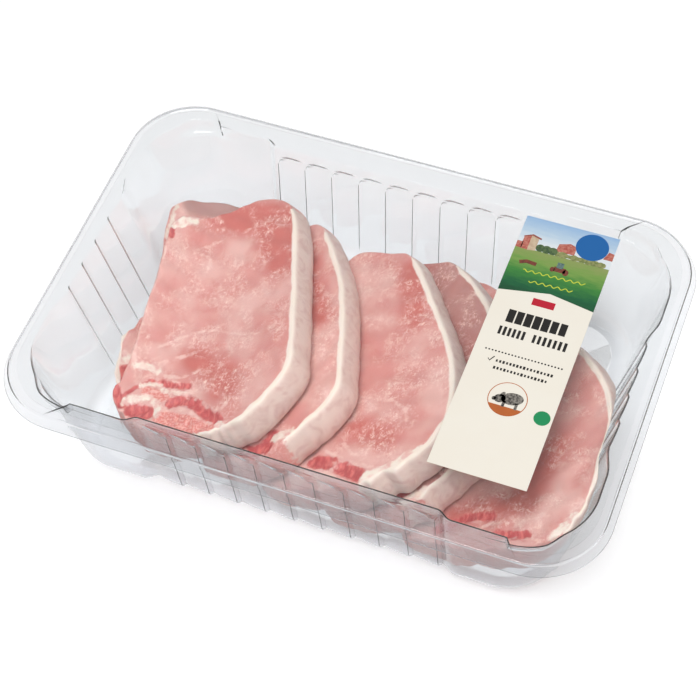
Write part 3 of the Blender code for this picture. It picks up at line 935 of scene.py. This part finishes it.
CHOPS = (
    ChopShape(
        "chop_1", 0, (
            (-52, 60), (-37, 27), (-21, -15), (-17, -34), (-31, -61), (-58, -67),
            (-87, -60), (-92, -26), (-97, 8), (-101, 39), (-86, 48), (-68, 65),
        ),
        red=(
            Stroke(2.8, ((-63, -51), (-58, -48), (-51, -50.5), (-45, -54.5), (-38, -58))),
            Stroke(3.6, ((-78, -59), (-71, -58))),
            Stroke(1.8, ((-68, -64), (-52, -66), (-37, -66), (-37, -60))),
            Stroke(1.0, ((-84, -53), (-81, -47), (-76, -42))),
            Stroke(1.6, ((-73, -42), (-66, -42.5), (-60, -41.5))),
            Stroke(2.2, ((-89, -52), (-84, -58))),
            Stroke(1.2, ((-99, 30), (-100, 36))),
        ),
        bone=(Stroke(3.8, ((-64, -59), (-55, -59.5), (-43, -62))), Stroke(2.6, ((-76, -48), (-68, -49)))),
        seam=(
            Stroke(0.9, ((-77, -53), (-75, -48), (-70, -44.5), (-64, -44), (-58, -46), (-52, -47.5), (-46, -51),
                         (-41, -53))),
            Stroke(0.9, ((-66, -55), (-59, -53.7), (-54, -53.6), (-48, -57), (-41, -59))),
            Stroke(1.0, ((-84, -37), (-77, -33), (-72, -29), (-66, -25))),
            Stroke(0.8, ((-80, -36), (-72, -38.5), (-64, -37), (-58, -32))),
            Stroke(0.8, ((-70, -38.5), (-63, -41.5), (-57, -44.5))),
            Stroke(0.7, ((-81, -25), (-73, -17), (-67, -12.7), (-60, -10.5), (-48, -12.4), (-37, -12))),
            Stroke(0.6, ((-86, 27), (-80, 33.7), (-73, 39.6), (-67, 46))),
            Stroke(0.6, ((-39, -52), (-37, -46))),
            Stroke(1.5, ((-100, 26), (-97.5, 8), (-94.5, -10), (-92, -26), (-88, -36))),
        ),
        white=(
            Stroke(1.8, ((-86, -37), (-80, -36), (-76, -37))),
            Stroke(1.6, ((-84, -56), (-79, -53), (-74, -51), (-69, -53), (-67, -58))),
            Stroke(1.0, ((-80, -46), (-74, -43), (-68, -46), (-60, -45))),
            Stroke(2.4, ((-36, -60), (-33, -66))),
            Stroke(2.6, ((-100, 37), (-94, 42))),
        ),
        deep=(Stroke(7.0, ((-62, -27), (-46, -34), (-42, -42))), Stroke(10.0, ((-80, 50), (-58, 54), (-44, 30)))),
    ),
    ChopShape(
        "chop_2", 1, (
            (-38, 62), (-17, 30), (0, -14), (3, -34), (-13, -62), (-33, -67),
            (-52, -58), (-57, -25), (-57, 25), (-55, 58), (-47, 66),
        ),
        red=(Stroke(3.0, ((-26, -62), (-17, -60), (-16, -53))), Stroke(2.0, ((-36, -60), (-28, -60)))),
        seam=(Stroke(0.9, ((-30, -58), (-22, -64), (-17, -63))),),
        white=(Stroke(2.6, ((-14, -54), (-9, -52))),),
        deep=(Stroke(5.0, ((-44, 50), (-20, 10))),),
    ),
    ChopShape(
        "chop_3", 2, (
            (6, 57), (24, 32), (45, -2), (53, -30), (47, -50), (27, -67),
            (0, -70), (-22, -60), (-31, -20), (-32, 30), (-25, 60), (-6, 61),
        ),
        red=(Stroke(3.4, ((3, -55), (10, -55.5))), Stroke(3.6, ((16, -58), (24, -61)))),
        seam=(
            Stroke(0.9, ((0, -60), (4, -60), (10, -60.7), (16.5, -63), (23, -66))),
            Stroke(0.8, ((5, -49), (12, -52), (17, -54.7), (23, -56), (29, -57))),
            Stroke(0.8, ((10, -52.5), (13.5, -58))),
            Stroke(0.6, ((12, -45), (18, -51), (24, -51.5), (25, -46))),
            Stroke(0.7, ((12, -20.5), (19, -22), (26, -23), (33, -28), (36, -34))),
        ),
        white=(Stroke(4.6, ((31, -63), (40, -57), (48, -50))),),
        deep=(Stroke(6.0, ((8, 50), (20, 20))), Stroke(6.0, ((30, -42), (16, -38)))),
    ),
    ChopShape(
        "chop_4", 3, (
            (24, 66), (47, 41), (64, 8), (69, -22), (58, -50), (42, -66),
            (22, -69), (6, -60), (-3, -20), (-4, 30), (0, 63), (13, 70),
        ),
        red=(Stroke(2.6, ((44, -58), (36, -63))),),
        white=(Stroke(2.4, ((52, -56), (44, -63))),),
        # Painted shade: chop_4 lies in the shade of chop_3 and the label, so its lean is darkened.
        tone=0.62,
    ),
    ChopShape(
        "chop_5", 4, (
            (44, 64), (93, 27), (114, -3), (118, -30), (116, -58), (101, -72),
            (70, -73), (44, -66), (31, -30), (27, 20), (29, 70),
        ),
        red=(Stroke(2.0, ((60, -64), (70, -58), (80, -57))), Stroke(2.2, ((85, -66), (97, -66)))),
        seam=(
            Stroke(0.6, ((70, -66), (80, -61), (92, -60), (103, -56))),
            Stroke(0.6, ((84, -71), (92, -67), (104, -68))),
        ),
        white=(Stroke(2.0, ((108, -66), (114, -56))),),
        deep=(Stroke(6.0, ((96, -20), (90, -50), (66, -58))),),
    ),
    ChopShape(
        "chop_6", 1, (
            (-70, 67), (-64, 50), (-63, 0), (-66, -40), (-80, -50), (-94, -46),
            (-105, -20), (-101, 0), (-107, 30), (-114, 56), (-99, 67), (-84, 71),
        ),
        fat_run=(0.42, 0.60),
        red=(Stroke(3.0, ((-96, -32), (-97, -38), (-94, -44))), Stroke(1.6, ((-84, 66), (-80, 62)))),
        seam=(Stroke(1.2, ((-100, -24), (-95, -28))),),
        white=(Stroke(2.0, ((-101, -30), (-93, -22))), Stroke(1.2, ((-112, 60), (-108, 40)))),
        # Painted shade in the hollow under chop_1's far edge.
        hollow=(Stroke(6.0, ((-104, 62), (-88, 67), (-76, 64))),),
    ),
)


# ---------------------------------------------------------------- film


@dataclass
class LidFilm:
    """The lidding film: a thin clear sheet drawn tight over the mouth, faintly rippled."""

    base: float = 58.35 * MM
    thickness: float = 0.12 * MM
    half_length: float = 124.0 * MM
    half_width: float = 83.8 * MM
    corner: float = 26.0 * MM
    rings: int = 40
    corner_steps: int = 16
    edge_steps: int = 12
    ripple: float = 0.07 * MM
    ripple_runs: tuple = (60.0 * MM, 24.0 * MM)

    def outline(self) -> np.ndarray:
        """Return the film's rounded outline, with places along its straight edges too."""
        core_x, core_y = self.half_length - self.corner, self.half_width - self.corner
        places = []
        for quarter in range(4):
            centre = np.array([core_x if quarter in (0, 3) else -core_x, core_y if quarter in (0, 1) else -core_y])
            for step in range(self.corner_steps + 1):
                angle = math.radians(90.0 * (quarter + step / self.corner_steps))
                places.append(centre + self.corner * np.array([math.cos(angle), math.sin(angle)]))
            following = np.array([-centre[0], centre[1]]) if quarter % 2 == 0 else np.array([centre[0], -centre[1]])
            angle = math.radians(90.0 * (quarter + 1))
            edge = self.corner * np.array([math.cos(angle), math.sin(angle)])
            places += [centre + edge + (following - centre) * i / self.edge_steps for i in range(1, self.edge_steps)]
        return np.array(places)

    def build(self, material: bpy.types.Material) -> bpy.types.Object:
        """Build the film piece."""
        outline = self.outline()
        count = len(outline)
        shares = (np.arange(self.rings) + 1) / self.rings
        flat = np.concatenate([outline * share for share in shares] + [np.zeros((1, 2))])
        inside = np.clip((1.0 - np.concatenate([np.full(count, s) for s in shares] + [[0.0]])) * 6.0, 0.0, 1.0)
        lift = self.ripple * inside * (waves(flat, self.ripple_runs[0], 5) + 0.4 * waves(flat, self.ripple_runs[1], 6))
        low = np.column_stack([flat, self.base + lift])
        high = np.column_stack([flat, self.base + self.thickness + lift])
        size = len(low)
        faces = []
        bands = ring_bands(self.rings, count) + [(i, (i + 1) % count, size - 1) for i in range(count)]
        faces += bands + [tuple(size + v for v in reversed(face)) for face in bands]
        outer = (self.rings - 1) * count
        faces += [(outer + i, outer + (i + 1) % count, size + outer + (i + 1) % count, size + outer + i)
                  for i in range(count)]
        piece = mesh_object("lid_film_sheet", np.concatenate([low, high]), faces, [material])
        face_outwards(piece)
        piece.data.shade_smooth()
        piece.data.set_sharp_from_angle(angle=math.radians(40.0))
        return piece


# ---------------------------------------------------------------- label


class MarkShape(Enum):
    """What a printed row repeats."""

    BLOCK = "block"
    DOT = "dot"


@dataclass
class MarkRow:
    """A printed row of equal or uneven marks, repeated by Geometry Nodes, in millimetres.

    Each mark rises a little more than the last, so that marks that overlap share no face.
    """

    name: str
    shape: MarkShape
    start: tuple[float, float, float]
    count: int
    pitch: float
    size: tuple[float, float, float]
    uneven: float = 0.0
    seed: int = 1
    rise: float = 0.001

    def tree(self) -> bpy.types.NodeTree:
        """Make the node tree: a line of points, a mark on each, made real and given its material."""
        tree = bpy.data.node_groups.new(self.name + "_row", "GeometryNodeTree")
        kinds = {"Count": "Int", "Pitch": "Float", "Rise": "Float", "Start": "Vector", "Size": "Vector",
                 "Uneven": "Float", "Seed": "Int", "Ink": "Material"}
        for name, kind in kinds.items():
            tree.interface.new_socket(name, in_out="INPUT", socket_type="NodeSocket" + kind)
        tree.interface.new_socket("Geometry", in_out="OUTPUT", socket_type="NodeSocketGeometry")
        given = tree.nodes.new("NodeGroupInput").outputs
        node = partial(add_node, tree)
        step = node("ShaderNodeCombineXYZ", {"X": given["Pitch"], "Z": given["Rise"]})
        line = node("GeometryNodeMeshLine", {
            "Count": given["Count"], "Start Location": given["Start"], "Offset": step,
        }, mode="OFFSET")
        if self.shape is MarkShape.BLOCK:
            mark = node("GeometryNodeMeshCube", {"Size": given["Size"]})
        else:
            across = node("ShaderNodeSeparateXYZ", [given["Size"]])
            radius = node(MATH, [across, 0.5], operation="MULTIPLY")
            mark = node("GeometryNodeMeshCylinder", {
                "Vertices": 20, "Radius": radius, "Depth": across.node.outputs["Z"],
            })
        low = node(MATH, [1.0, given["Uneven"]], operation="SUBTRACT")
        high = node(MATH, [1.0, given["Uneven"]], operation="ADD")
        wide = node("FunctionNodeRandomValue", {"Min": low, "Max": high, "Seed": given["Seed"]},
                    output="Value", data_type="FLOAT")
        scale = node("ShaderNodeCombineXYZ", {"X": wide, "Y": wide, "Z": 1.0})
        marks = node("GeometryNodeInstanceOnPoints", {"Points": line, "Instance": mark, "Scale": scale})
        real = node("GeometryNodeRealizeInstances", [marks])
        inked = node("GeometryNodeSetMaterial", {"Geometry": real, "Material": given["Ink"]})
        node("NodeGroupOutput", [inked])
        return tree

    def build(self, ink: bpy.types.Material) -> bpy.types.Object:
        """Build the row as a plain mesh in its ink."""
        tree = self.tree()
        piece = mesh_object(self.name, np.zeros((0, 3)), [], [])
        modifier = piece.modifiers.new("row", "NODES")
        modifier.node_group = tree
        values = {"Count": self.count, "Pitch": self.pitch * MM, "Rise": self.rise * MM,
                  "Start": tuple(c * MM for c in self.start), "Size": tuple(c * MM for c in self.size),
                  "Uneven": self.uneven, "Seed": self.seed, "Ink": ink}
        for socket in tree.interface.items_tree:
            if socket.in_out == "INPUT":
                modifier[socket.identifier] = values[socket.name]
        return apply_modifiers(piece)


@dataclass
class Label:
    """The paper label, with a plain generic print of fields of colour and simple shapes.

    The print is laid out in millimetres from the label's near left corner.
    """

    base: float = 58.80
    thickness: float = 0.10
    ink_height: float = 0.02
    centre: tuple[float, float] = (73.5, 7.8)
    width: float = 41.0
    length: float = 130.0

    @property
    def corner(self) -> tuple[float, float]:
        """Return the near left corner in millimetres."""
        return self.centre[0] - 0.5 * self.width, self.centre[1] - 0.5 * self.length

    def level_top(self, level: int) -> float:
        """Return the height of a print level's top in millimetres."""
        return self.base + self.thickness + level * self.ink_height

    def sheet(self, name: str, outlines: list, level: int, material: bpy.types.Material) -> bpy.types.Object:
        """Make thin flat shapes on the label.

        Args:
            name: The piece's name.
            outlines: Their outlines, anticlockwise, in millimetres from the label's corner.
            level: 0 for the paper, and higher for inks over it.
            material: Its material.

        Returns:
            The new piece.
        """
        low = self.base if level == 0 else self.base + 0.5 * self.thickness
        vertices, faces = [], []
        for outline in outlines:
            first, count = len(vertices), len(outline)
            for z in (low, self.level_top(level)):
                vertices += [((self.corner[0] + x) * MM, (self.corner[1] + y) * MM, z * MM) for x, y in outline]
            faces.append(tuple(first + i for i in reversed(range(count))))
            faces.append(tuple(first + count + i for i in range(count)))
            for i in range(count):
                j = (i + 1) % count
                faces.append((first + i, first + j, first + count + j, first + count + i))
        return mesh_object(name, np.array(vertices), faces, [material])

    def row(self, name: str, shape: MarkShape, place: tuple[float, float], count: int, pitch: float,
            size: tuple[float, float], level: int, uneven: float = 0.0, seed: int = 1) -> MarkRow:
        """Lay out a printed row from the place of its first mark.

        Args:
            name: The piece's name.
            shape: What the row repeats.
            place: The middle of the first mark, from the label's corner.
            count: How many marks.
            pitch: Distance between marks.
            size: Width and height of a mark.
            level: Its print level.
            uneven: How much the marks' sizes vary.
            seed: Seed of the variation.

        Returns:
            The row, ready to build.
        """
        low, top = self.base + 0.5 * self.thickness, self.level_top(level)
        start = (self.corner[0] + place[0], self.corner[1] + place[1], 0.5 * (low + top))
        return MarkRow(name, shape, start, count, pitch, (size[0], size[1], top - low), uneven, seed)

    @staticmethod
    def disc(x: float, y: float, radius: float, start: float = 0.0, end: float = 360.0) -> list:
        """Return a disc's outline, or the outline of a segment cut from it, in millimetres."""
        whole = end - start >= 360.0
        steps = 48
        angles = [math.radians(start + (end - start) * i / (steps if whole else steps - 1)) for i in range(steps)]
        return [(x + radius * math.cos(a), y + radius * math.sin(a)) for a in angles]

    @staticmethod
    def oval(x: float, y: float, half_x: float, half_y: float, turn: float = 0.0) -> list:
        """Return a turned oval's outline in millimetres."""
        c, s = math.cos(math.radians(turn)), math.sin(math.radians(turn))
        angles = [math.tau * i / 28 for i in range(28)]
        return [(x + half_x * math.cos(a) * c - half_y * math.sin(a) * s,
                 y + half_x * math.cos(a) * s + half_y * math.sin(a) * c) for a in angles]

    @staticmethod
    def box(x0: float, y0: float, x1: float, y1: float) -> list:
        """Return a rectangle's outline."""
        return [(x0, y0), (x1, y0), (x1, y1), (x0, y1)]

    @staticmethod
    def stroke(points: list, width: float) -> list:
        """Return the outline of a pen stroke through points, in millimetres."""
        left, right = [], []
        for i, (x, y) in enumerate(points):
            (ax, ay), (bx, by) = points[max(0, i - 1)], points[min(len(points) - 1, i + 1)]
            run = math.hypot(bx - ax, by - ay)
            nx, ny = -(by - ay) / run * 0.5 * width, (bx - ax) / run * 0.5 * width
            left.append((x + nx, y + ny))
            right.append((x - nx, y - ny))
        return right + left[::-1]

    def picture(self, inks: dict) -> list[bpy.types.Object]:
        """Build the picture at the label's head: sky, farm buildings, a hedge and a green field."""
        sheet = self.sheet
        pieces = [
            sheet("print_sky", [self.box(0, 112, 41, 130)], 1, inks["sky"]),
            sheet("print_field", [[(0, 89), (21.5, 93.2), (41, 90), (41, 113), (0, 113)]], 2, inks["field"]),
            sheet("print_barns", [self.box(0, 112.6, 2.6, 116), [(2.2, 112.4), (5.2, 112.4), (5.2, 120.6), (2.2, 119)],
                                  [(17, 115.4), (25, 115.6), (25, 120), (22, 121), (17.4, 119.4)],
                                  [(37, 117.6), (41, 117.6), (41, 121.4), (38.6, 121.8)]], 3, inks["barn"]),
            sheet("print_barn_fronts", [[(5.2, 112.2), (8.6, 112.8), (8.6, 119.6), (5.2, 120.4)]], 3, inks["stone"]),
            sheet("print_roof", [[(2.0, 119.2), (5.6, 121.0), (9.6, 119.8), (9.6, 119.0), (5.4, 120.2), (2.0, 118.6)]],
                  4, inks["roof"]),
            self.row("print_near_trees", MarkShape.DOT, (10.4, 114.8), 5, 1.4, (3.6, 3.6), 3, 0.25, 4)
                .build(inks["tree"]),
            self.row("print_hedge", MarkShape.DOT, (18.0, 114.2), 20, 1.05, (2.6, 2.6), 3, 0.3, 9)
                .build(inks["hedge"]),
            sheet("print_tractor", [self.box(19.0, 105.0, 24.0, 107.6), self.oval(24.2, 105.6, 1.3, 1.6),
                                    self.oval(18.4, 105.8, 1.0, 1.3),
                                    self.stroke([(4.2, 105.2), (7.0, 106.4), (11.4, 106.0)], 1.9)], 3, inks["rust"]),
            sheet("print_cab", [self.box(19.8, 107.0, 22.6, 110.0)], 4, inks["cab"]),
        ]
        swash = [[(x, 101.4 + 0.03 * x + 0.55 * math.sin(1.9 * x)) for x in np.arange(7.0, 34.0, 0.25)],
                 [(x, 96.4 + 0.03 * x + 0.55 * math.sin(1.9 * x + 1.0)) for x in np.arange(11.0, 30.0, 0.25)]]
        pieces.append(sheet("print_swash", [self.stroke(line, 0.42) for line in swash], 4, inks["lime"]))
        pieces.append(sheet("print_disc", [self.disc(31.1, 122.0, 7.0)], 5, inks["blue"]))
        return pieces

    def badge(self, inks: dict) -> list[bpy.types.Object]:
        """Build the round badge with a plain pig standing on a brown segment."""
        x, y = 20.9, 38.0
        ring = [self.disc(x, y, 8.1)]
        pig = [self.oval(x + 1.8, y + 0.6, 4.6, 2.9, 12.0), self.oval(x - 3.1, y - 0.5, 2.4, 2.0, 20.0),
               self.oval(x - 5.4, y - 1.2, 0.9, 0.9), self.oval(x - 2.6, y + 1.7, 0.7, 1.4, -30.0),
               self.box(x - 1.6, y - 4.0, x - 0.4, y - 1.0), self.box(x + 3.6, y - 4.0, x + 4.8, y - 1.0)]
        return [
            self.sheet("print_badge_ring", ring, 1, inks["brown"]),
            self.sheet("print_badge_ground", [self.disc(x, y, 7.75)], 2, inks["paper"]),
            self.sheet("print_badge_base", [self.disc(x, y, 7.9, 208.0, 332.0)], 3, inks["brown"]),
            self.sheet("print_badge_pig", pig, 4, inks["sketch"]),
        ]

    def inks(self) -> dict[str, bpy.types.Material]:
        """Build the label's paper and inks, and return them by a short name."""
        near = self.corner[1]
        finishes = {
            # Coated paper with no ink: a warm, pale cream ground.
            "paper": PrintFinish("coated_label_paper", "FCF6E9", "FBF4E6", 30.0),
            # Light blue that pales to near white at the skyline.
            "sky": GradientInk("sky_ink", near + 117.0, near + 130.0,
                               (("E9F0F4", 0.0), ("C2D9EC", 0.45), ("9CC0E6", 1.0))),
            # Deep green in front that yellows with distance.
            "field": GradientInk("field_ink", near + 89.0, near + 113.0, (
                ("0B4A2C", 0.0), ("13633A", 0.22), ("3F8A3B", 0.5), ("7DA44E", 0.75), ("93A25E", 1.0))),
            # Dusty brick red, mottled like weathered boards.
            "barn": PrintFinish("red_barn_ink", "B4584A", "CF8474", 1.2),
            # Pale sunlit plaster.
            "stone": PrintFinish("pale_barn_ink", "D8C2A4", "C9AE92", 1.6),
            # Darker clay red, so that the roof's edge reads.
            "roof": PrintFinish("roof_ink", "8E4A40", "A65A4C", 1.0),
            # Dark leaf green with lighter tufts.
            "tree": PrintFinish("tree_ink", "3C5638", "61784C", 1.3),
            # Dry olive green, lighter than the trees in front.
            "hedge": PrintFinish("hedge_ink", "76834A", "A0A06A", 1.1),
            # Rust brown, for the small machines in the field.
            "rust": PrintFinish("rust_ink", "8C4634", "6B3A30", 0.8),
            # Grey green, as a cab's window looks from afar.
            "cab": PrintFinish("cab_ink", "4D6A66", "6F8884", 0.8),
            # Bright yellow green that stands out on the field.
            "lime": PrintFinish("lime_ink", "D6E04A", "C6D644", 2.0),
            # Solid mid blue.
            "blue": PrintFinish("blue_ink", "1266AE", patch_mm=9.0),
            # Solid signal red.
            "red": PrintFinish("red_ink", "C8102E", "C41230", 9.0),
            # Warm near black, the colour of text.
            "black": PrintFinish("black_ink", "1A1816", patch_mm=9.0),
            # Warm orange brown.
            "brown": PrintFinish("brown_ink", "C66A2E", "BF642A", 5.0),
            # Black broken by grey, like a pencil sketch.
            "sketch": PrintFinish("sketch_ink", "2B2826", "9B958C", 0.9),
            # Solid clear green.
            "green": PrintFinish("green_ink", "14945A", patch_mm=9.0),
        }
        return {name: finish.build() for name, finish in finishes.items()}

    def build(self) -> list[bpy.types.Object]:
        """Build the paper and its print, and return the pieces, the paper first."""
        inks = self.inks()
        block, dot = MarkShape.BLOCK, MarkShape.DOT
        rows = (
            self.row("print_title", block, (9.6, 77.4), 7, 3.72, (3.05, 6.3), 1, 0.06, 3),
            self.row("print_subtitle_left", block, (7.4, 69.4), 6, 2.0, (1.15, 4.2), 1, 0.05, 5),
            self.row("print_subtitle_right", block, (22.0, 69.4), 7, 2.2, (1.2, 4.2), 1, 0.05, 8),
            self.row("print_dots", dot, (4.9, 58.9), 24, 1.40, (0.78, 0.78), 1),
            self.row("print_note_upper", block, (11.0, 54.4), 17, 1.45, (0.85, 1.3), 1, 0.2, 2),
            self.row("print_note_lower", block, (11.0, 50.9), 16, 1.45, (0.85, 1.3), 1, 0.2, 6),
        )
        tick = self.stroke([(7.2, 54.6), (8.0, 53.6), (9.5, 56.2)], 0.45)
        return [
            self.sheet("label_sheet", [self.box(0, 0, self.width, self.length)], 0, inks["paper"]),
            *self.picture(inks),
            self.sheet("print_mark", [self.box(15.6, 85.6, 25.2, 89.2)], 1, inks["red"]),
            *[row.build(inks["black"]) for row in rows],
            self.sheet("print_tick", [tick], 1, inks["black"]),
            *self.badge(inks),
            self.sheet("print_green_disc", [self.disc(36.6, 33.8, 3.4)], 1, inks["green"]),
        ]


# ---------------------------------------------------------------- studio


@dataclass
class Studio:
    """A pale floor, soft white lamps and the camera."""

    lens_mm: float = 96.2
    sensor_mm: float = 36.0
    camera_place: tuple = (0.18613, -0.41211, 0.68962)
    camera_right: tuple = (0.93409, 0.35411, -0.04558)
    camera_up: tuple = (-0.26821, 0.78024, 0.56505)
    camera_back: tuple = (0.23566, -0.51559, 0.82379)
    aim: tuple = (0.0, 0.0, 0.03)
    key: tuple = ((-0.05, -0.25, 1.25), (0.55, 0.45), 4.6)
    fill: tuple = ((0.85, -0.20, 0.9), (0.6, 0.6), 1.6)
    world_strength: float = 0.56
    floor_glow: float = 0.26
    floor_reach: float = 3.0

    def camera(self) -> None:
        """Make the camera and set it for the scene."""
        data = bpy.data.cameras.new("camera")
        data.lens = self.lens_mm
        data.sensor_width = self.sensor_mm
        camera = bpy.data.objects.new("camera", data)
        bpy.context.scene.collection.objects.link(camera)
        turn = Matrix((self.camera_right, self.camera_up, self.camera_back)).transposed().to_4x4()
        turn.translation = Vector(self.camera_place)
        camera.matrix_world = turn
        bpy.context.scene.camera = camera

    def lamp(self, name: str, place: tuple[float, float, float], size: tuple[float, float], watts: float) -> None:
        """Hang one white area lamp, aimed at the pack."""
        data = bpy.data.lights.new(name, "AREA")
        data.shape = "RECTANGLE"
        data.size, data.size_y = size
        data.energy = watts
        lamp = bpy.data.objects.new(name, data)
        bpy.context.scene.collection.objects.link(lamp)
        lamp.location = place
        lamp.rotation_euler = (Vector(self.aim) - lamp.location).to_track_quat("-Z", "Y").to_euler()

    def floor(self) -> bpy.types.Object:
        """Lay the floor."""
        # Matt white paint. A glow that only the camera and clear plastic see makes it white, and it keeps the shadow.
        material, node = new_material("white_floor")
        plain = node("ShaderNodeBsdfDiffuse", {"Color": srgb("FAFAFA")})
        glow = node("ShaderNodeEmission", {"Color": srgb("FFFFFF"), "Strength": self.floor_glow})
        camera = node("ShaderNodeLightPath", output="Is Camera Ray")
        rays = camera.node.outputs
        seen = node(MATH, [camera, rays["Is Transmission Ray"]], operation="MAXIMUM")
        seen = node(MATH, [seen, rays["Is Glossy Ray"]], operation="MAXIMUM")
        both = node("ShaderNodeAddShader", [plain, glow])
        node("ShaderNodeOutputMaterial", {"Surface": node("ShaderNodeMixShader", [seen, plain, both])})
        square = np.array([(-1, -1, 0), (1, -1, 0), (1, 1, 0), (-1, 1, 0)]) * self.floor_reach
        floor = mesh_object("floor", square, [(0, 1, 2, 3)], [material])
        return floor

    def world(self) -> None:
        """Light the surroundings plainly."""
        world = bpy.data.worlds.new("studio")
        bpy.context.scene.world = world
        world.use_nodes = True
        background = world.node_tree.nodes["Background"]
        background.inputs["Color"].default_value = (1.0, 1.0, 1.0, 1.0)
        background.inputs["Strength"].default_value = self.world_strength

    def build(self) -> None:
        """Set up the camera, lamps, floor, world and colour."""
        self.camera()
        self.lamp("key", *self.key)
        self.lamp("fill", *self.fill)
        self.floor()
        self.world()
        bpy.context.scene.view_settings.view_transform = "Standard"


def main() -> None:
    """Build the pack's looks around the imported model."""
    logging.basicConfig(level=logging.INFO, format="%(name)s: %(message)s")
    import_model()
    Studio().build()

    tray = Tray()
    # Thermoformed PET sheet: clear, with a faint grey cast and slightly soft highlights.
    pet = ClearPlastic("thermoformed_clear_pet", "ECEDEF", 0.04).build()
    # Thin lidding film: nearly invisible but for its sharp highlights.
    film = ClearPlastic("clear_lidding_film", "FDFEFE", 0.02).build()
    finish_piece(tray.build(pet), "clear_tray", "tray")
    finish_piece(LidFilm().build(film), "clear_film", "lid_film")
    for index, piece in enumerate(Label().build()):
        finish_piece(piece, "label_paper", *(["label"] if index == 0 else []))
    pork = PorkFinish().build()
    stack = ChopStack(tray)
    for seed, shape in enumerate(CHOPS):
        finish_piece(stack.build(shape, pork, seed), "pork", shape.name)


if __name__ == "__main__":
    main()
